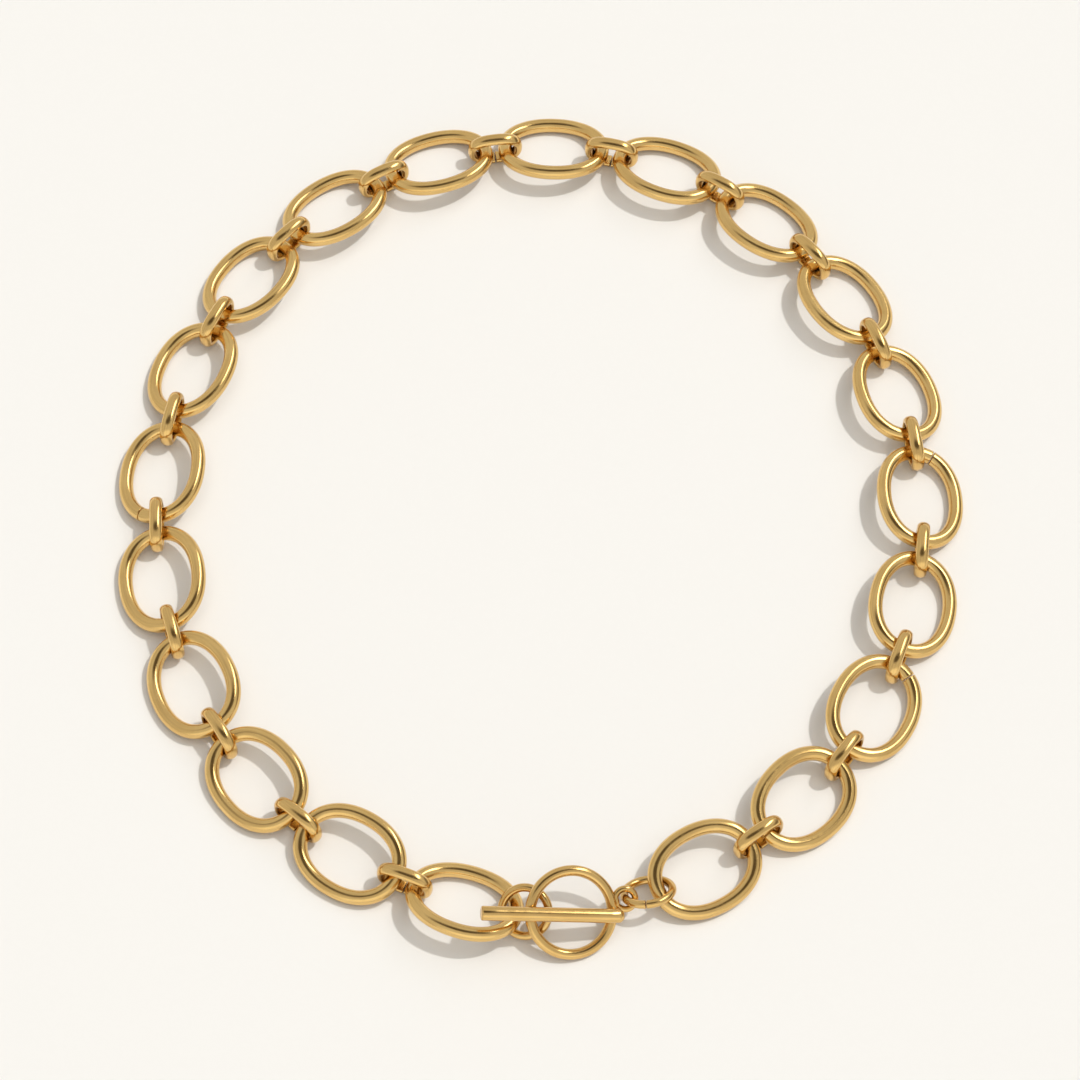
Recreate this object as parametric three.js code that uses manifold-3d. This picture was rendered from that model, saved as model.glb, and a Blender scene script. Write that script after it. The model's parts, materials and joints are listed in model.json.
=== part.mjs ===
// Toggle-clasp chain necklace, lying fastened on a flat surface.
// Millimetres, +Z up, the clasp at -Y, its bar on the -X side and its jump ring on the +X side.
// Large oval wire links alternate with small upright connector links; two jump rings
// carry the clasp: a bar with a soldered eye, passed through a ring with a soldered eye.

import * as THREE from 'three';
import { mergeVertices } from 'three/addons/utils/BufferGeometryUtils.js';
import Module from 'manifold-3d';

// ---- driving dimensions -------------------------------------------------

const LINK_COUNT = 20;
const LINK_LENGTH = 20.0;          // outside, along the chain
const LINK_WIDTH = 15.7;           // outside, across the chain
const LINK_WIRE = 2.5;             // round wire diameter
const LINK_SQUARENESS = 2.15;      // its oval is a little fuller than an ellipse
const LINK_LEAN = 17;              // degrees, every large link rests on one long side
const FIRST_LINK_LEAN = 20;        // degrees, the first link leans the other way

const CONNECTOR_LENGTH = 9.8;      // outside, along the chain
const CONNECTOR_HEIGHT = 7.2;      // outside, standing upright
const CONNECTOR_BAND = 1.15;       // thickness of the D-shaped band
const CONNECTOR_DEPTH = 2.2;       // width of the band across the chain
const CONNECTOR_SQUARENESS = 2.5;  // how far its oval fills out towards a rectangle

const PLAY = 0.7;                  // slack where a connector meets a large link

const JUMP_RING_OUTSIDE = 9.4;
const JUMP_RING_WIRE = 1.4;

const TOGGLE_RING_OUTSIDE = 15.6;
const TOGGLE_RING_WIRE = 1.8;
const EYE_OUTSIDE = 4.5;           // soldered eye of the ring and of the bar
const EYE_WIRE = 1.1;
const EYE_OVERLAP = 0.7;           // share of the eye's wire that is sunk into its piece
const EYE_POST = 0.6;              // short post between the bar and its eye

const BAR_LENGTH = 24.0;
const BAR_DIAMETER = 2.4;
const BAR_CHAMFER = 0.25;          // around its flat end
const BAR_TAPER = 0.92;            // its other end narrows to this share before it rounds off

const LOOP_HALF_WIDTH = 66.0;      // oval that the chain's pivots follow, along X
const LOOP_HALF_DEPTH = 74.6;      // along Y
const FIRST_LINK_TURN = 8;         // degrees, the end links swing outward at their connectors
const LAST_LINK_TURN = 3;
const BACK_ANGLE = 97;             // degrees on the oval, where the middle connector lies

// ---- derived sizes ------------------------------------------------------

const LINK_SPAN = LINK_LENGTH - 2 * LINK_WIRE - PLAY;                  // pivot to pivot
const CONNECTOR_SPAN = CONNECTOR_LENGTH - 2 * CONNECTOR_BAND - PLAY;   // pivot to pivot
const LINK_HALF_WIDTH = (LINK_WIDTH - LINK_WIRE) / 2;                  // to the wire's centre
const LINK_REST_Z = LINK_WIRE / 2 + LINK_HALF_WIDTH * Math.sin(degrees(LINK_LEAN));
const FIRST_LINK_REST_Z = LINK_WIRE / 2 + LINK_HALF_WIDTH * Math.sin(degrees(FIRST_LINK_LEAN));

const WIRE_SIDES = 8;
const LINK_STEPS = 20;
const CONNECTOR_STEPS = 16;
const RING_STEPS = 20;
const TOGGLE_RING_STEPS = 24;
const EYE_STEPS = 12;
const BAR_SIDES = 12;

function degrees(angle) {
  return angle * Math.PI / 180;
}

// ---- materials ----------------------------------------------------------

function polishedGold(color, roughness) {
  return new THREE.MeshStandardMaterial({ color, roughness, metalness: 1 });
}

const linkGold = () => polishedGold(0xd9a94e, 0.2);
const connectorGold = () => polishedGold(0xd4a247, 0.22);
const claspGold = () => polishedGold(0xcf9d45, 0.24);

// ---- shapes -------------------------------------------------------------

// Closed section of a round wire, as outward and upward offsets from its centre.
function roundSection(diameter, sides) {
  const points = [];
  for (let i = 0; i <= sides; i += 1) {
    const angle = (i % sides) * 2 * Math.PI / sides;
    points.push(new THREE.Vector2(Math.cos(angle), Math.sin(angle)).multiplyScalar(diameter / 2));
  }
  return points;
}

// Closed D section of the connector band: flat inside, domed outside.
function bandSection(thickness, width) {
  const points = [];
  const domeSteps = 4;
  const edge = 0.35 * thickness;   // height of the straight side below the dome
  for (let i = 0; i <= domeSteps; i += 1) {
    const angle = -Math.PI / 2 + Math.PI * i / domeSteps;
    const outward = -thickness / 2 + edge + (thickness - edge) * Math.cos(angle);
    points.push(new THREE.Vector2(outward, width / 2 * Math.sin(angle)));
  }
  points.push(new THREE.Vector2(-thickness / 2, width / 2 - edge));
  points.push(new THREE.Vector2(-thickness / 2, -width / 2 + edge));
  points.push(points[0].clone());
  return points;
}

// A closed section carried once around an oval in the XY plane.
// A squareness of 2 is a plain ellipse, and more than 2 fills out its corners.
function ovalRing(section, halfLength, halfWidth, steps, squareness = 2) {
  const turningRadius = 100;       // any radius well clear of the axis, taken off again below
  const profile = section.map((p) => new THREE.Vector2(turningRadius + p.x, p.y));
  const ring = new THREE.LatheGeometry(profile, steps);
  const position = ring.getAttribute('position');
  for (let i = 0; i < position.count; i += 1) {
    const turned = new THREE.Vector2(position.getZ(i), position.getX(i));
    const offset = turned.length() - turningRadius;
    const height = position.getY(i);
    const unit = turned.normalize();
    const point = spread(unit, 2 / squareness);
    const slope = spread(unit, 2 - 2 / squareness);
    const normal = new THREE.Vector2(slope.x / halfLength, slope.y / halfWidth).normalize();
    const x = halfLength * point.x + offset * normal.x;
    const y = halfWidth * point.y + offset * normal.y;
    position.setXYZ(i, x, y, height);
  }
  return closed(ring);
}

// Each coordinate raised to a power with its sign kept.
function spread(unit, power) {
  const raise = (value) => Math.sign(value) * Math.abs(value) ** power;
  return new THREE.Vector2(raise(unit.x), raise(unit.y));
}

// Shared vertices merged, so that the surface is one closed skin.
function closed(geometry) {
  geometry.deleteAttribute('normal');
  geometry.deleteAttribute('uv');
  return mergeVertices(geometry, 1e-4);
}

function wireRing(outside, wire, steps) {
  const radius = (outside - wire) / 2;
  return ovalRing(roundSection(wire, WIRE_SIDES), radius, radius, steps);
}

const wasm = await Module();
wasm.setup();

function solid(geometry) {
  const vertProperties = new Float32Array(geometry.getAttribute('position').array);
  const triVerts = new Uint32Array(geometry.getIndex().array);
  return new wasm.Manifold(new wasm.Mesh({ numProp: 3, vertProperties, triVerts }));
}

// Two closed meshes soldered into one.
function soldered(first, second) {
  const mesh = solid(first).add(solid(second)).getMesh();
  const geometry = new THREE.BufferGeometry();
  geometry.setAttribute('position', new THREE.BufferAttribute(mesh.vertProperties, 3));
  geometry.setIndex(new THREE.BufferAttribute(mesh.triVerts, 1));
  return geometry;
}

// ---- pieces -------------------------------------------------------------

function largeLink() {
  const halfLength = (LINK_LENGTH - LINK_WIRE) / 2;
  const section = roundSection(LINK_WIRE, WIRE_SIDES);
  return ovalRing(section, halfLength, LINK_HALF_WIDTH, LINK_STEPS, LINK_SQUARENESS);
}

function connector() {
  const halfLength = (CONNECTOR_LENGTH - CONNECTOR_BAND) / 2;
  const halfHeight = (CONNECTOR_HEIGHT - CONNECTOR_BAND) / 2;
  const section = bandSection(CONNECTOR_BAND, CONNECTOR_DEPTH);
  const ring = ovalRing(section, halfLength, halfHeight, CONNECTOR_STEPS, CONNECTOR_SQUARENESS);
  return ring.rotateX(Math.PI / 2);
}

// The toggle ring lies in its own XY plane, its eye at the +X side in the same plane.
function toggleRing() {
  const ring = wireRing(TOGGLE_RING_OUTSIDE, TOGGLE_RING_WIRE, TOGGLE_RING_STEPS);
  const eye = wireRing(EYE_OUTSIDE, EYE_WIRE, EYE_STEPS);
  const reach = (TOGGLE_RING_OUTSIDE + EYE_OUTSIDE) / 2 - EYE_WIRE * EYE_OVERLAP;
  eye.translate(reach, 0, 0);
  return soldered(ring, eye);
}

// The bar runs along its own X, its eye hangs below it in the XZ plane.
function toggleBar() {
  const radius = BAR_DIAMETER / 2;
  const half = BAR_LENGTH / 2;
  const profile = [
    new THREE.Vector2(0, -half),
    new THREE.Vector2(radius - BAR_CHAMFER, -half),
    new THREE.Vector2(radius, -half + BAR_CHAMFER),
    new THREE.Vector2(radius * BAR_TAPER, half - radius * 0.9),
    new THREE.Vector2(radius * 0.62, half - radius * 0.25),
    new THREE.Vector2(0, half),
  ];
  const bar = closed(new THREE.LatheGeometry(profile, BAR_SIDES)).rotateZ(-Math.PI / 2);
  const eye = wireRing(EYE_OUTSIDE, EYE_WIRE, EYE_STEPS).rotateX(Math.PI / 2);
  eye.translate(0, 0, -barToEye());
  const postLength = 3 * EYE_POST;   // sunk into the bar and the eye at its ends
  const post = closed(new THREE.CylinderGeometry(EYE_WIRE / 2, EYE_WIRE / 2, postLength, WIRE_SIDES));
  post.rotateX(Math.PI / 2);
  post.translate(0, 0, -radius - EYE_POST / 2);
  return soldered(soldered(bar, post), eye);
}

function barToEye() {
  return (BAR_DIAMETER + EYE_OUTSIDE) / 2 - EYE_WIRE * EYE_OVERLAP + EYE_POST;
}

// ---- layout -------------------------------------------------------------

function loopPoint(angle) {
  const x = LOOP_HALF_WIDTH * Math.cos(angle);
  const y = LOOP_HALF_DEPTH * Math.sin(angle);
  return new THREE.Vector2(x, y);
}

// The angle on the oval whose point lies one chord away, in the given direction.
function stepAlongLoop(angle, chord, direction) {
  const start = loopPoint(angle);
  const widestStep = 0.6;          // radians, well over one chain piece
  const tolerance = 1e-9;
  let near = 0;
  let far = widestStep;
  while (far - near > tolerance) {
    const middle = (near + far) / 2;
    const reached = loopPoint(angle + direction * middle).distanceTo(start);
    if (reached < chord) near = middle;
    else far = middle;
  }
  return angle + direction * near;
}

function place(mesh, position, rollDegrees, pitchDegrees, headingDegrees) {
  mesh.position.copy(position);
  mesh.rotation.set(degrees(rollDegrees), degrees(pitchDegrees), degrees(headingDegrees), 'ZYX');
  return mesh;
}

// A chain piece between two pivots, pointing clockwise around the necklace.
function placeBetween(mesh, from, to, z, roll) {
  const middle = from.clone().add(to).multiplyScalar(0.5);
  const heading = THREE.MathUtils.radToDeg(to.clone().sub(from).angle());
  return place(mesh, new THREE.Vector3(middle.x, middle.y, z), roll, 0, heading);
}

function numbered(name, number) {
  return `${name}_${String(number).padStart(2, '0')}`;
}

function addLink(group, number, from, to) {
  const mesh = new THREE.Mesh(largeLink(), linkGold());
  mesh.name = numbered('link', number);
  if (number === 1) {
    const swung = from.clone().rotateAround(to, -degrees(FIRST_LINK_TURN));
    group.add(placeBetween(mesh, swung, to, FIRST_LINK_REST_Z, FIRST_LINK_LEAN));
  } else if (number === LINK_COUNT) {
    const swung = to.clone().rotateAround(from, degrees(LAST_LINK_TURN));
    group.add(placeBetween(mesh, from, swung, LINK_REST_Z, -LINK_LEAN));
  } else {
    group.add(placeBetween(mesh, from, to, LINK_REST_Z, -LINK_LEAN));
  }
}

function addConnector(group, number, from, to) {
  const mesh = new THREE.Mesh(connector(), connectorGold());
  mesh.name = numbered('connector', number);
  group.add(placeBetween(mesh, from, to, CONNECTOR_HEIGHT / 2, 0));
}

// Half of the chain, walked from the middle connector to the clasp.
function addHalfChain(group, direction) {
  const clockwise = direction < 0;
  const middle = LINK_COUNT / 2;
  let angle = stepAlongLoop(degrees(BACK_ANGLE), CONNECTOR_SPAN / 2, direction);
  for (let i = 0; i < middle; i += 1) {
    const linkStart = loopPoint(angle);
    angle = stepAlongLoop(angle, LINK_SPAN, direction);
    const linkEnd = loopPoint(angle);
    const linkNumber = clockwise ? middle + 1 + i : middle - i;
    if (clockwise) addLink(group, linkNumber, linkStart, linkEnd);
    else addLink(group, linkNumber, linkEnd, linkStart);
    if (i === middle - 1) return;
    angle = stepAlongLoop(angle, CONNECTOR_SPAN, direction);
    const connectorEnd = loopPoint(angle);
    const connectorNumber = clockwise ? linkNumber : linkNumber - 1;
    if (clockwise) addConnector(group, connectorNumber, linkEnd, connectorEnd);
    else addConnector(group, connectorNumber, connectorEnd, linkEnd);
  }
}

function addMiddleConnector(group) {
  const back = degrees(BACK_ANGLE);
  const left = loopPoint(stepAlongLoop(back, CONNECTOR_SPAN / 2, 1));
  const right = loopPoint(stepAlongLoop(back, CONNECTOR_SPAN / 2, -1));
  addConnector(group, LINK_COUNT / 2, left, right);
}

function addClasp(group) {
  const add = (name, geometry, position, roll, pitch, heading) => {
    const mesh = new THREE.Mesh(geometry, claspGold());
    mesh.name = name;
    group.add(place(mesh, new THREE.Vector3(...position), roll, pitch, heading));
  };
  const jumpRing = () => wireRing(JUMP_RING_OUTSIDE, JUMP_RING_WIRE, RING_STEPS);
  add('bar_jump_ring', jumpRing(), [-2.4, -75.7, 3.6], 27, -20, 8);
  add('ring_jump_ring', jumpRing(), [17.9, -72.2, 3.7], -36, -6, 5);
  add('toggle_ring', toggleRing(), [5.2, -76.3, 4.65], 32, 4, 17);
  add('toggle_bar', toggleBar(), [2.2, -77.9, 7.4], 28, 12, 4);
}

// The origin is the middle of the necklace's footprint, on the surface it lies on.
function standOnOrigin(group) {
  const box = new THREE.Box3().setFromObject(group, true);
  const middle = box.getCenter(new THREE.Vector3());
  group.children.forEach((mesh) => {
    mesh.position.sub(new THREE.Vector3(middle.x, middle.y, box.min.z));
  });
}

// ---- the necklace -------------------------------------------------------

const necklace = new THREE.Group();
addHalfChain(necklace, 1);
addMiddleConnector(necklace);
addHalfChain(necklace, -1);
addClasp(necklace);
standOnOrigin(necklace);

export default necklace;
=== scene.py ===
"""Gold chain necklace with a toggle clasp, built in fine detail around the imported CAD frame.

Every CAD node is faceted and closed. Each one is replaced here by a smooth piece at the same
place and size: the frame of each piece is read from its CAD node, its joint or its mount.
"""

import json
import math
import random

import bpy
import numpy as np
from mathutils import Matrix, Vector


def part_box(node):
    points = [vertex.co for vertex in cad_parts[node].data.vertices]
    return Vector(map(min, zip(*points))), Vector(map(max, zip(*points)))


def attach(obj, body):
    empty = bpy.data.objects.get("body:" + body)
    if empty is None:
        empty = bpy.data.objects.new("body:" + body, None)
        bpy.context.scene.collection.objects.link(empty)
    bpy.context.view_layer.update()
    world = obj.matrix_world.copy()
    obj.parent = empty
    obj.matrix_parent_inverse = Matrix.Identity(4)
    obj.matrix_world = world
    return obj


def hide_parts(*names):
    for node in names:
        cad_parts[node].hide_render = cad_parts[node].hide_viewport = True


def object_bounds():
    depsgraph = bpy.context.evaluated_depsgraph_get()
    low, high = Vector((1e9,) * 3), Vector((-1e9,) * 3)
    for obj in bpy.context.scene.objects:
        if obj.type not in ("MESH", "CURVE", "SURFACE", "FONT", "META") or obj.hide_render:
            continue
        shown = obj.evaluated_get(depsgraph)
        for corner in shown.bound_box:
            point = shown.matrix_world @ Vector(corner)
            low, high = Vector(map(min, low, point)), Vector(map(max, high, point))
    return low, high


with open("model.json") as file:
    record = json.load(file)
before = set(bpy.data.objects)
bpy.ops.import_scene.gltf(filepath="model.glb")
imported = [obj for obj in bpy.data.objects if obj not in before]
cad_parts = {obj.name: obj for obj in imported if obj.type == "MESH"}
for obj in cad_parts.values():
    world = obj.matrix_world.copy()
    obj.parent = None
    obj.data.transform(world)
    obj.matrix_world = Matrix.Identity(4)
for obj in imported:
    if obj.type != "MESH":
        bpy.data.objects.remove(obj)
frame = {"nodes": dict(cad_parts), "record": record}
cad_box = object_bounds()
rng = random.Random(20)

MM = 0.001

# ---- driving dimensions of the fine shapes ------------------------------

LINKS = 20
CONNECTORS = 19

LINK_WIRE = 2.5 * MM
LINK_SQUARENESS = 2.15        # 2 is an ellipse, more is squarer
LINK_EGG = 0.03               # its ends are up to this share broader or narrower than an even oval
CONNECTOR_BAND = 1.15 * MM
CONNECTOR_SQUARENESS = 2.5
JUMP_RING_WIRE = 1.4 * MM
TOGGLE_RING_WIRE = 1.8 * MM
TOGGLE_RING_OUTSIDE = 15.6 * MM
EYE_OUTSIDE = 4.5 * MM
EYE_WIRE = 1.1 * MM
EYE_OVERLAP = 0.7 * EYE_WIRE  # how far the ring's eye sinks into the ring's wire
BAR_DIAMETER = 2.4 * MM
BAR_CHAMFER = 0.22 * MM
SOLDER_BLOB = (0.45 * MM, 1.1 * MM, 0.6 * MM)      # its half sizes, between ring and eye
SOLDER_FLARE = 0.35 * MM      # how far the post's foot spreads on the bar

BUTT_GAP = 0.16 * MM          # the wire's two ends never quite meet
BUTT_EDGE = 0.07 * MM         # their broken edge
WIRE_FIT = 0.997              # smooth wire bulges beyond the CAD's flats, so it is a hair thinner

RING_STEPS = 180
SMALL_RING_STEPS = 120
EYE_STEPS = 64
WIRE_SIDES = 32
SHARP_ANGLE = math.radians(50)

# Links whose butt joint shows, on the outer side of the loop beside the connector of this
# number. The others hide theirs inside a connector.
SHOWING_BUTTS = {6: 5, 16: 15, 18: 17}
SHOWING_BUTT_PLACE = (0.86, 0.38)   # shares of the link's half length and half width


# ---- frames read from the CAD -------------------------------------------

def node_points(node):
    """The CAD node's distinct corners at rest, in metres."""
    corners = [vertex.co[:] for vertex in frame["nodes"][node].data.vertices]
    return np.unique(np.round(np.array(corners), 7), axis=0)


class RingFrame:
    """Centre, axes and half sizes of a flat ring-like node: long, wide and thin."""

    def __init__(self, node):
        self.points = node_points(node)
        spread = np.linalg.svd(self.points - self.points.mean(axis=0), full_matrices=False)[2]
        self.long = spread[0]
        self.thin = np.cross(self.long, spread[1])
        if self.thin[2] < 0:
            self.thin = -self.thin
        self.measure()

    def stand_upright(self):
        """Makes thin the level direction across the ring."""
        self.thin = unit(np.cross(self.long, (0, 0, 1)))
        self.measure()

    def measure(self):
        self.wide = np.cross(self.thin, self.long)
        axes = np.array([self.long, self.wide, self.thin])
        along = self.points @ axes.T
        low, high = along.min(axis=0), along.max(axis=0)
        self.centre = axes.T @ ((low + high) / 2)
        self.half = (high - low) / 2


def unit(vector):
    vector = np.array(vector, float)
    return vector / np.linalg.norm(vector)


def box_centre(node):
    low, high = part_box(node)
    return np.array((low + high) / 2)


def joint(name):
    return next(j for j in frame["record"]["behaviour"]["joints"] if j["name"] == name)


def mount(name):
    return next(m for m in frame["record"]["mounts"] if m["name"] == name)


# ---- outlines and sections ----------------------------------------------

def oval(half_long, half_wide, squareness, egg, steps):
    """Evenly spaced points of a superellipse, one end slightly broader than the other."""
    turn = np.linspace(0, 2 * np.pi, 4001)
    power = 2 / squareness
    x = half_long * np.sign(np.cos(turn)) * np.abs(np.cos(turn)) ** power
    y = half_wide * np.sign(np.sin(turn)) * np.abs(np.sin(turn)) ** power
    y = y * (1 + egg * x / half_long)
    length = np.concatenate([[0], np.cumsum(np.hypot(np.diff(x), np.diff(y)))])
    even = np.linspace(0, length[-1], steps + 1)[:-1]
    return np.column_stack([np.interp(even, length, x), np.interp(even, length, y)])


def round_section(wire):
    radius = wire / 2 * WIRE_FIT
    turn = np.arange(WIRE_SIDES) * 2 * np.pi / WIRE_SIDES
    return np.column_stack([radius * np.cos(turn), radius * np.sin(turn)])


def band_section(thickness, width):
    """D section with rounded corners: flat towards the opening, domed outside."""
    corner = 0.28 * thickness
    inner, edge = -thickness / 2, 0.35 * thickness
    points = []
    for turn in np.linspace(-np.pi / 2, np.pi / 2, 19):
        points.append((inner + edge + (thickness - edge) * np.cos(turn), width / 2 * np.sin(turn)))
    for side in (1, -1):
        centre = (inner + corner, side * (width / 2 - corner))
        turns = np.linspace(0, np.pi / 2, 6)[::side]
        for turn in turns:
            points.append((centre[0] - corner * np.sin(turn), centre[1] + side * corner * np.cos(turn)))
    return np.array(points)


# ---- meshes -------------------------------------------------------------

def mesh_piece(name, vertices, faces, along):
    """A smooth object. Its UV map says how far along and how far around the wire a point is."""
    mesh = bpy.data.meshes.new(name)
    mesh.from_pydata([tuple(v) for v in vertices], [], faces)
    mesh.update()
    layer = mesh.uv_layers.new(name="wire")
    for loop in mesh.loops:
        layer.data[loop.index].uv = along[loop.vertex_index]
    shade_smooth(mesh)
    piece = bpy.data.objects.new(name, mesh)
    bpy.context.scene.collection.objects.link(piece)
    return piece


def shade_smooth(mesh):
    mesh.polygons.foreach_set("use_smooth", [True] * len(mesh.polygons))
    mesh.set_sharp_from_angle(angle=SHARP_ANGLE)


def swept(path, outward, normal, section, shrink=None):
    """A section carried along a path. With shrink, a share for each point, the path is open and
    its ends are flat. Without, it is a closed ring."""
    vertices, along = [], []
    steps, sides = len(path), len(section)
    shares = np.ones(steps) if shrink is None else shrink
    travelled = 0.0
    for i in range(steps):
        if i:
            travelled += np.linalg.norm(path[i] - path[i - 1])
        for k, (out, up) in enumerate(section * shares[i]):
            vertices.append(path[i] + out * outward[i] + up * normal)
            along.append((travelled / MM, k / sides))
    rows = steps if shrink is None else steps - 1
    faces = skin(rows, sides, len(vertices))
    if shrink is not None:
        faces += flat_ends(sides, len(vertices))
    return vertices, faces, along


def skin(rows, sides, count):
    faces = []
    for i in range(rows):
        for k in range(sides):
            a, b = i * sides + k, i * sides + (k + 1) % sides
            faces.append((a, b, (b + sides) % count, (a + sides) % count))
    return faces


def flat_ends(sides, count):
    return [tuple(reversed(range(sides))), tuple(range(count - sides, count))]


def part_ends(points, tangent, half_thick):
    """Draws the two ends of a closed wire apart and gives each a broken edge."""
    first = points[0] + tangent[0] * BUTT_GAP / 2
    last = points[-1] - tangent[-1] * BUTT_GAP / 2
    lips = [first + tangent[0] * BUTT_EDGE, last - tangent[-1] * BUTT_EDGE]
    points = np.vstack([first, lips[0], points[1:-1], lips[1], last])
    tangent = np.vstack([tangent[:1], tangent, tangent[-1:]])
    shrink = np.ones(len(points))
    shrink[0] = shrink[-1] = 1 - BUTT_EDGE / half_thick
    return points, tangent, shrink


def ring_mesh(ring, section, squareness, butt_at, steps, egg=0.0):
    """A wire bent once around an oval, with a fine butt joint at its point nearest to butt_at."""
    half_thick = section[:, 0].max()
    points = oval(ring.half[0] - half_thick, ring.half[1] - half_thick, squareness, egg, steps)
    start = int(np.argmin(np.hypot(*(points - butt_at).T)))
    points = np.roll(points, -start, axis=0)
    points = np.vstack([points, points[:1]])
    tangent = np.gradient(points, axis=0)
    tangent[0] = tangent[-1] = points[1] - points[-2]
    tangent = tangent / np.linalg.norm(tangent, axis=1)[:, None]
    points, tangent, shrink = part_ends(points, tangent, half_thick)
    outward = np.column_stack([tangent[:, 1], -tangent[:, 0]])
    axes = np.array([ring.long, ring.wide])
    return swept(ring.centre + points @ axes, outward @ axes, ring.thin, section, shrink)


def circle_mesh(centre, across, up, outside, wire, steps):
    """A closed ring of round wire, soldered shut."""
    turn = np.arange(steps) * 2 * np.pi / steps
    outward = np.outer(np.cos(turn), across) + np.outer(np.sin(turn), up)
    path = centre + outward * (outside - wire) / 2
    return swept(path, outward, np.cross(across, up), round_section(wire))


def ball_mesh(centre, axes, radii, rows=16, sides=24):
    """A small solder blob: an ellipsoid with the given axes and radii."""
    vertices = []
    for i in range(1, rows):
        polar = np.pi * i / rows
        for k in range(sides):
            turn = 2 * np.pi * k / sides
            local = (np.sin(polar) * np.cos(turn), np.sin(polar) * np.sin(turn), np.cos(polar))
            vertices.append(centre + sum(a * r * c for a, r, c in zip(axes, radii, local)))
    faces = [(a, d, c, b) for a, b, c, d in skin(rows - 2, sides, len(vertices))]
    top, bottom = len(vertices), len(vertices) + 1
    vertices += [centre + axes[2] * radii[2], centre - axes[2] * radii[2]]
    last = (rows - 2) * sides
    for k in range(sides):
        faces.append((top, k, (k + 1) % sides))
        faces.append((bottom, last + (k + 1) % sides, last + k))
    return vertices, faces, [(0, 0)] * len(vertices)


def turned_mesh(start, axis, side, profile, sides):
    """A turned body: (distance, radius) pairs along an axis, closed at both ends."""
    other = np.cross(axis, side)
    vertices, along = [], []
    for distance, radius in profile:
        centre = start + axis * distance
        for k in range(sides):
            turn = 2 * np.pi * k / sides
            vertices.append(centre + radius * (math.cos(turn) * side + math.sin(turn) * other))
            along.append((distance / MM, k / sides))
    faces = skin(len(profile) - 1, sides, len(vertices)) + flat_ends(sides, len(vertices))
    return vertices, faces, along


def joined(name, shapes):
    """Closed shapes united into one skin."""
    parts = [mesh_piece(f"{name}_part_{i}", *shape) for i, shape in enumerate(shapes)]
    base = parts[0]
    for other in parts[1:]:
        union = base.modifiers.new("solder", "BOOLEAN")
        union.operation = "UNION"
        union.solver = "EXACT"
        union.object = other
        bpy.context.view_layer.update()
        graph = bpy.context.evaluated_depsgraph_get()
        merged = bpy.data.meshes.new_from_object(base.evaluated_get(graph))
        base.modifiers.clear()
        base.data = merged
        bpy.data.objects.remove(other)
    base.name = name
    shade_smooth(base.data)
    return base


# ---- pieces -------------------------------------------------------------

def finish_piece(piece, node, material):
    piece.data.materials.append(material)
    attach(piece, node)
    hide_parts(node)


def large_link(number, material):
    node = f"link_{number:02d}"
    ring = RingFrame(node)
    egg = rng.uniform(-LINK_EGG, LINK_EGG)
    neighbour = SHOWING_BUTTS.get(number, min(number, CONNECTORS))
    end = np.sign((box_centre(f"connector_{neighbour:02d}") - ring.centre) @ ring.long)
    butt_at = np.array([end * ring.half[0], 0.0])
    if number in SHOWING_BUTTS:
        outer = np.sign(ring.centre @ ring.wide)
        butt_at = np.array(SHOWING_BUTT_PLACE) * (end, outer) * ring.half[:2]
    shape = ring_mesh(ring, round_section(LINK_WIRE), LINK_SQUARENESS, butt_at, RING_STEPS, egg)
    finish_piece(mesh_piece(f"oval_link_{number:02d}", *shape), node, material)


def connector(number, material):
    """An upright band with its butt joint underneath."""
    node = f"connector_{number:02d}"
    ring = RingFrame(node)
    ring.stand_upright()
    section = band_section(CONNECTOR_BAND, 2 * ring.half[2])
    down = -np.sign(ring.wide[2])
    butt_at = np.array([0.0, down * ring.half[1]])
    shape = ring_mesh(ring, section, CONNECTOR_SQUARENESS, butt_at, SMALL_RING_STEPS)
    piece = mesh_piece(f"connector_link_{number:02d}", *shape)
    finish_piece(piece, node, material)


def jump_ring(node, butt_towards, material):
    ring = RingFrame(node)
    aim = np.array(butt_towards, float)
    butt_at = np.array([aim @ ring.long, aim @ ring.wide]) * ring.half[0]
    shape = ring_mesh(ring, round_section(JUMP_RING_WIRE), 2, butt_at, SMALL_RING_STEPS)
    finish_piece(mesh_piece(f"{node}_wire", *shape), node, material)


def toggle_ring(material):
    node = "toggle_ring"
    swivel = joint("toggle_ring_swivel")
    eye_centre = np.array(swivel["pos_m"])
    normal = unit(swivel["axis"])
    ring = RingFrame(node)
    towards_eye = ring.long * np.sign((eye_centre - ring.centre) @ ring.long)
    reach = (TOGGLE_RING_OUTSIDE + EYE_OUTSIDE) / 2 - EYE_OVERLAP
    centre = eye_centre - towards_eye * reach
    across = np.cross(normal, towards_eye)
    solder_at = centre + towards_eye * (TOGGLE_RING_OUTSIDE / 2 + 0.02 * MM)
    shapes = [
        circle_mesh(centre, towards_eye, across, TOGGLE_RING_OUTSIDE, TOGGLE_RING_WIRE, RING_STEPS),
        circle_mesh(eye_centre, towards_eye, across, EYE_OUTSIDE, EYE_WIRE, EYE_STEPS),
        ball_mesh(solder_at, (towards_eye, across, normal), SOLDER_BLOB),
    ]
    finish_piece(joined("toggle_ring_soldered", shapes), node, material)


def bar_profile(length):
    """The bar's first end is chamfered and its far end is domed."""
    radius = BAR_DIAMETER / 2
    profile = [
        (0.0, radius - BAR_CHAMFER),
        (0.3 * BAR_CHAMFER, radius - 0.3 * BAR_CHAMFER),
        (BAR_CHAMFER, radius),
    ]
    profile += [(share * length, radius) for share in (0.1, 0.5, 0.9)]
    dome = 0.9 * radius
    for turn in np.linspace(0, np.pi / 2, 12)[1:]:
        distance = length - dome + dome * math.sin(turn)
        profile.append((distance, 0.06 * MM + 0.92 * radius * math.cos(turn)))
    return profile


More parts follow.
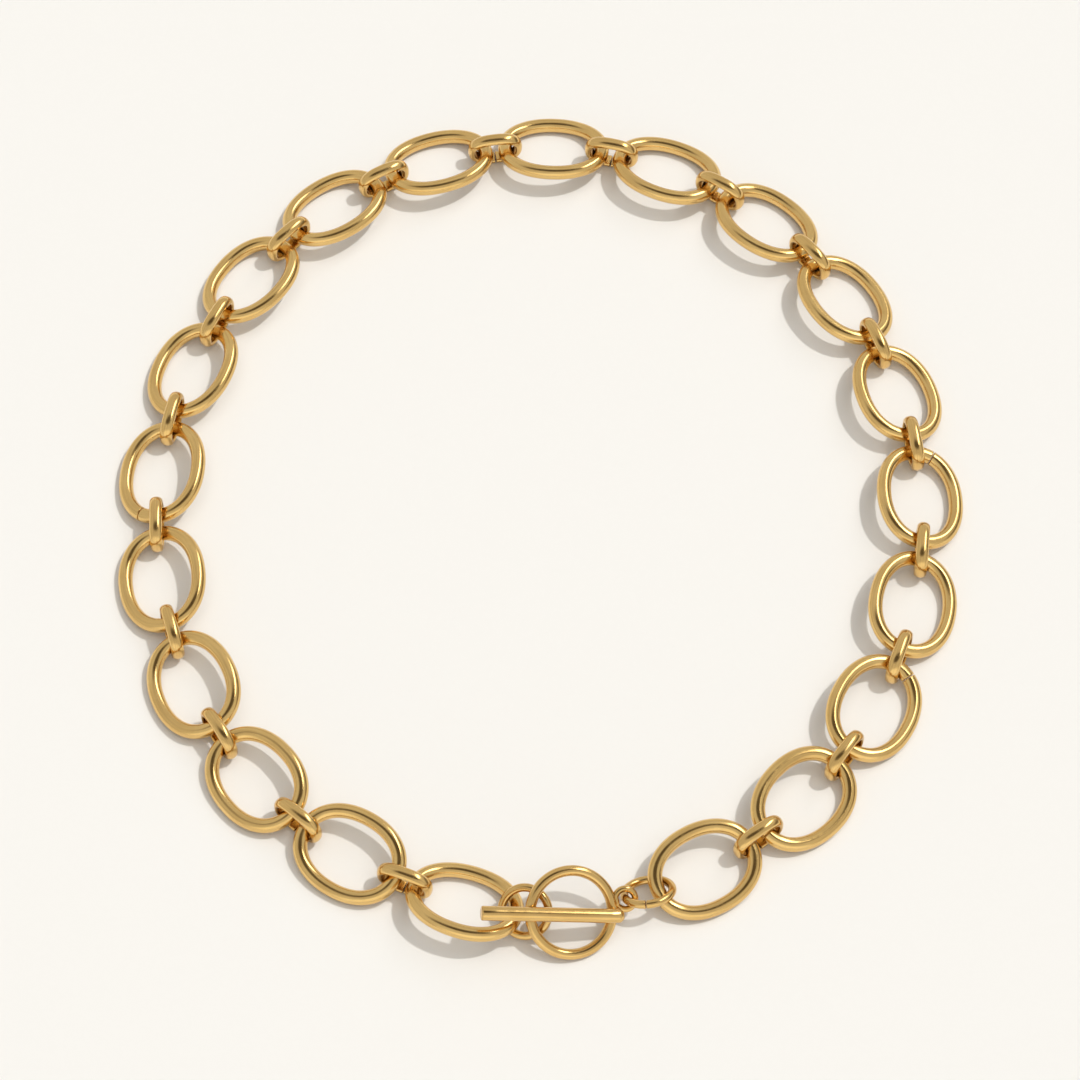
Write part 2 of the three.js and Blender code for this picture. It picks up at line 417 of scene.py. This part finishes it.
def post_profile(length):
    """The post between bar and eye, with a flare of solder at its foot."""
    radius = EYE_WIRE / 2 * WIRE_FIT
    foot = BAR_DIAMETER / 8
    return [
        (0.0, radius + SOLDER_FLARE),
        (foot, radius + SOLDER_FLARE),
        (foot + 0.25 * MM, radius + 0.1 * MM),
        (0.55 * length + 0.2 * MM, radius),
        (length, radius + 0.05 * MM),
    ]


def toggle_bar(material):
    node = "toggle_bar"
    face = mount("bar_end_face")
    start = np.array(face["pos_m"])
    axis = -unit(face["axis"])
    length = ((node_points(node) - start) @ axis).max()
    eye_centre = np.array(joint("toggle_bar_swivel")["pos_m"])
    down = eye_centre - start
    down = unit(down - axis * (down @ axis))
    side = np.cross(axis, down)
    post_top = start + axis * length / 2 + down * 0.4 * BAR_DIAMETER
    post_length = (eye_centre - post_top) @ down - (EYE_OUTSIDE / 2 - 0.8 * EYE_WIRE)
    shapes = [
        turned_mesh(start, axis, side, bar_profile(length), 48),
        turned_mesh(post_top, down, side, post_profile(post_length), 32),
        circle_mesh(eye_centre, axis, down, EYE_OUTSIDE, EYE_WIRE, EYE_STEPS),
    ]
    finish_piece(joined("toggle_bar_soldered", shapes), node, material)


# ---- materials ----------------------------------------------------------

CLOUD_SIZE = 260.0            # texture scales: features per metre
DENT_SIZE = 330.0
HAZE_SIZE = 620.0
GRAIN_SIZE = 900.0
SPECK_SIZE = 2600.0
DRAWN_LINES = (0.10, 13.0, 1.0)       # broad lines along the wire: per mm, and around it
SCRATCH_LINES = (0.35, 60.0, 1.0)
DRAWN_BROWN = (0.60, 0.385, 0.14, 1)
# painted shade: the brown mixed into recesses and contacts by the ambient occlusion mask in gold_colour
PAINTED_SHADE_BROWN = (0.33, 0.20, 0.075, 1)
SPECK_BROWN = (0.52, 0.31, 0.11, 1)
FLOOR_COLOUR = (0.869, 0.857, 0.834)


class Nodes:
    """Short calls for building a node tree."""

    def __init__(self, owner):
        owner.use_nodes = True
        self.tree = owner.node_tree
        self.tree.nodes.clear()

    def add(self, kind, inputs=(), **settings):
        node = self.tree.nodes.new(kind)
        for key, value in settings.items():
            setattr(node, key, value)
        for key, value in dict(inputs).items():
            self.feed(node, key, value)
        return node

    def feed(self, node, key, value):
        if isinstance(value, bpy.types.NodeSocket):
            self.tree.links.new(value, node.inputs[key])
        else:
            node.inputs[key].default_value = value

    def noise(self, vector, scale, detail=3.0, roughness=0.55):
        inputs = {"Vector": vector, "Scale": scale, "Detail": detail, "Roughness": roughness}
        return self.add("ShaderNodeTexNoise", inputs).outputs["Fac"]

    def lines(self, wire, scale, detail, roughness):
        """Noise that is stretched along the wire."""
        stretched = self.add("ShaderNodeMapping", {"Vector": wire, "Scale": scale})
        return self.noise(stretched.outputs["Vector"], 1.0, detail, roughness)

    def remap(self, value, low, high, to_low, to_high):
        inputs = {"Value": value, "From Min": low, "From Max": high, "To Min": to_low, "To Max": to_high}
        return self.add("ShaderNodeMapRange", inputs).outputs["Result"]

    def mix(self, factor, first, second):
        node = self.add("ShaderNodeMix", data_type="RGBA")
        for index, value in ((0, factor), (6, first), (7, second)):
            self.feed(node, index, value)
        return node.outputs[2]

    def surface(self, shader):
        output = self.add("ShaderNodeOutputMaterial")
        self.tree.links.new(shader.outputs["BSDF"], output.inputs["Surface"])


def gold_colour(n, place, drawn, bright, deep):
    """Cloudy gold with browner drawing lines and specks, and painted shade: brown laid into recesses
    where the AO node finds nearby surfaces.
    """
    clouds = n.noise(place, CLOUD_SIZE)
    colour = n.mix(n.remap(clouds, 0.35, 0.68, 0.0, 0.7), (*bright, 1), (*deep, 1))
    colour = n.mix(n.remap(drawn, 0.42, 0.66, 0.0, 0.55), colour, DRAWN_BROWN)
    # painted shade: the AO node darkens the gold towards brown where parts crowd close, as shade would
    painted_shade_ao = n.add("ShaderNodeAmbientOcclusion", {"Distance": 1.2 * MM}, samples=8)
    painted_shade_mask = n.remap(painted_shade_ao.outputs["AO"], 0.25, 0.8, 0.55, 0.0)
    colour = n.mix(painted_shade_mask, colour, PAINTED_SHADE_BROWN)
    specks = n.noise(place, SPECK_SIZE, 2.0)
    return n.mix(n.remap(specks, 0.7, 0.78, 0.0, 0.35), colour, SPECK_BROWN)


def gold_roughness(n, place, drawn, smooth, dull):
    haze = n.noise(place, HAZE_SIZE, 4.0, 0.6)
    rough = n.remap(haze, 0.3, 0.7, smooth, dull)
    streaks = n.remap(drawn, 0.35, 0.70, -0.02, 0.05)
    return n.add("ShaderNodeMath", {0: rough, 1: streaks}, operation="ADD").outputs[0]


def gold_bumps(n, place, wire):
    """Shallow dents, and fine scratches along the wire."""
    dents = n.noise(place, DENT_SIZE, 2.0)
    dented = n.add("ShaderNodeBump", {"Strength": 0.35, "Distance": 0.05 * MM, "Height": dents})
    scratches = n.lines(wire, SCRATCH_LINES, 4.0, 0.7)
    scratched = n.add("ShaderNodeBump", {
        "Strength": 0.25, "Distance": 0.004 * MM, "Height": scratches,
        "Normal": dented.outputs["Normal"]})
    return scratched.outputs["Normal"]


def gold(name, bright, deep, smooth, dull):
    """Polished plated gold between two tones and two roughnesses."""
    material = bpy.data.materials.new(name)
    n = Nodes(material)
    place = n.add("ShaderNodeTexCoord").outputs["Object"]
    wire = n.add("ShaderNodeUVMap", uv_map="wire").outputs["UV"]
    drawn = n.lines(wire, DRAWN_LINES, 3.0, 0.6)
    n.surface(n.add("ShaderNodeBsdfPrincipled", {
        "Base Color": gold_colour(n, place, drawn, bright, deep),
        "Metallic": 1.0,
        "Roughness": gold_roughness(n, place, drawn, smooth, dull),
        "Normal": gold_bumps(n, place, wire)}))
    return material


def paper(name, colour):
    """The matt pale surface that the necklace lies on."""
    material = bpy.data.materials.new(name)
    n = Nodes(material)
    place = n.add("ShaderNodeTexCoord").outputs["Object"]
    grain = n.noise(place, GRAIN_SIZE)
    darker = [0.995 * c for c in colour]
    tone = n.mix(n.remap(grain, 0.3, 0.7, 0.0, 1.0), (*colour, 1), (*darker, 1))
    n.surface(n.add("ShaderNodeBsdfDiffuse", {"Color": tone, "Roughness": 0.0}))
    return material


# ---- studio -------------------------------------------------------------

CAMERA_ELEVATION = math.radians(61.6)
CAMERA_DISTANCE = 0.784
CAMERA_LENS = 151.4
CAMERA_AIM_OFFSET = Vector((-0.0001, -0.0035, 0.0))

KEY_FROM = Vector((0.50, 0.13, 1.0))
KEY_STRENGTH = 1.32
KEY_ANGLE = 2.5               # a narrow lamp, whose shadows have nearly sharp edges
KEY_COLOUR = (1.0, 0.985, 0.955)
FILL_FROM = Vector((0.15, -0.1, 1.0))
FILL_STRENGTH = 1.05
FILL_ANGLE = 60.0
FILL_COLOUR = (1.0, 0.985, 0.95)

SKY_LEVEL = 0.68
SKY_TINT = (1.0, 0.985, 0.95)
SKY_DIFFUSE_SHARE = 0.5       # the sky lights matt surfaces by only this much, the fill does the rest
BACKDROP_COLOUR = (0.965, 0.939, 0.880, 1)

# Oval patches of the sky: where each is, its half sizes, its soft edge and its colour.
SKY_PATCHES = (
    ((0.0, -0.02, 1.0), (0.50, 0.30, 1.0), 0.35, (0.11, 0.092, 0.07, 1)),     # ceiling over the camera
    ((0.95, 0.35, 0.10), (0.40, 0.55, 0.30), 0.35, (0.20, 0.18, 0.16, 1)),    # dim corner on the right
    ((0.0, -1.0, 0.25), (0.9, 0.45, 0.42), 0.4, (1.15, 1.13, 1.08, 1)),       # bright front wall
    ((0.50, 0.42, 0.76), (0.085, 0.32, 0.5), 0.35, (6.0, 5.95, 5.8, 1)),      # long window
)

FLOOR_HALF = 3.0
FLOOR_DROP = 0.02 * MM        # keeps the floor just under the lowest wire


def camera():
    data = bpy.data.cameras.new("camera")
    data.sensor_width = 36.0
    data.lens = CAMERA_LENS
    data.clip_start = 0.05
    data.clip_end = 20.0
    shot = bpy.data.objects.new("camera", data)
    bpy.context.scene.collection.objects.link(shot)
    middle = (cad_box[0] + cad_box[1]) / 2
    aim = Vector((middle.x, middle.y, 0.0)) + CAMERA_AIM_OFFSET
    back = Vector((0.0, -math.cos(CAMERA_ELEVATION), math.sin(CAMERA_ELEVATION)))
    shot.location = aim + back * CAMERA_DISTANCE
    shot.rotation_euler = (-back).to_track_quat("-Z", "Y").to_euler()
    bpy.context.scene.camera = shot


def sun(name, towards, strength, angle, colour):
    """A far lamp that the gold doesn't mirror: the sky alone makes its highlights."""
    data = bpy.data.lights.new(name, "SUN")
    data.energy = strength
    data.angle = math.radians(angle)
    data.color = colour
    lamp = bpy.data.objects.new(name, data)
    bpy.context.scene.collection.objects.link(lamp)
    lamp.rotation_euler = towards.to_track_quat("Z", "Y").to_euler()
    lamp.visible_glossy = False


def patch(n, direction, centre, size, edge):
    """1 inside an oval patch of sky around a direction, fading out over its soft edge."""
    scale = [1 / s for s in size]
    away = n.add("ShaderNodeVectorMath", {0: direction, 1: centre}, operation="SUBTRACT")
    scaled = n.add("ShaderNodeVectorMath", {0: away.outputs[0], 1: scale}, operation="MULTIPLY")
    reach = n.add("ShaderNodeVectorMath", {0: scaled.outputs[0]}, operation="LENGTH").outputs["Value"]
    inputs = {"Value": reach, "From Min": 1 - edge, "From Max": 1 + edge, "To Min": 1.0, "To Max": 0.0}
    return n.add("ShaderNodeMapRange", inputs, interpolation_type="SMOOTHSTEP").outputs["Result"]


def studio_sky():
    """A soft pale studio, with a long window on the right and a dark ceiling over the camera."""
    world = bpy.data.worlds.new("studio")
    bpy.context.scene.world = world
    n = Nodes(world)
    direction = n.add("ShaderNodeTexCoord").outputs["Generated"]
    sky = (*[SKY_LEVEL * tint for tint in SKY_TINT], 1)
    for centre, size, edge, colour in SKY_PATCHES:
        sky = n.mix(patch(n, direction, centre, size, edge), sky, colour)
    rays = n.add("ShaderNodeLightPath")
    sky = n.mix(rays.outputs["Is Camera Ray"], sky, BACKDROP_COLOUR)
    strength = n.remap(rays.outputs["Is Diffuse Ray"], 0.0, 1.0, 1.0, SKY_DIFFUSE_SHARE)
    shader = n.add("ShaderNodeBackground", {"Color": sky, "Strength": strength})
    output = n.add("ShaderNodeOutputWorld")
    n.tree.links.new(shader.outputs["Background"], output.inputs["Surface"])


def floor(material):
    corners = 64
    turn = [2 * math.pi * k / corners for k in range(corners)]
    rim = [(FLOOR_HALF * math.cos(t), FLOOR_HALF * math.sin(t), 0.0) for t in turn]
    mesh = bpy.data.meshes.new("floor")
    mesh.from_pydata(rim, [], [tuple(range(corners))])
    mesh.materials.append(material)
    surface = bpy.data.objects.new("floor", mesh)
    surface.location.z = -FLOOR_DROP
    bpy.context.scene.collection.objects.link(surface)


# ---- the scene ----------------------------------------------------------

link_gold = gold("link_gold", (0.84, 0.575, 0.225), (0.77, 0.50, 0.175), 0.13, 0.20)
connector_gold = gold("connector_gold", (0.83, 0.56, 0.215), (0.75, 0.48, 0.165), 0.13, 0.21)
clasp_gold = gold("clasp_gold", (0.81, 0.54, 0.205), (0.72, 0.455, 0.155), 0.12, 0.20)

for number in range(1, LINKS + 1):
    large_link(number, link_gold)
for number in range(1, CONNECTORS + 1):
    connector(number, connector_gold)
jump_ring("bar_jump_ring", (-0.9, -0.4, 0), clasp_gold)
jump_ring("ring_jump_ring", (0, -1, 0), clasp_gold)
toggle_ring(clasp_gold)
toggle_bar(clasp_gold)

floor(paper("paper", FLOOR_COLOUR))
studio_sky()
sun("key", KEY_FROM, KEY_STRENGTH, KEY_ANGLE, KEY_COLOUR)
sun("fill", FILL_FROM, FILL_STRENGTH, FILL_ANGLE, FILL_COLOUR)
camera()
bpy.context.scene.view_settings.view_transform = "Standard"
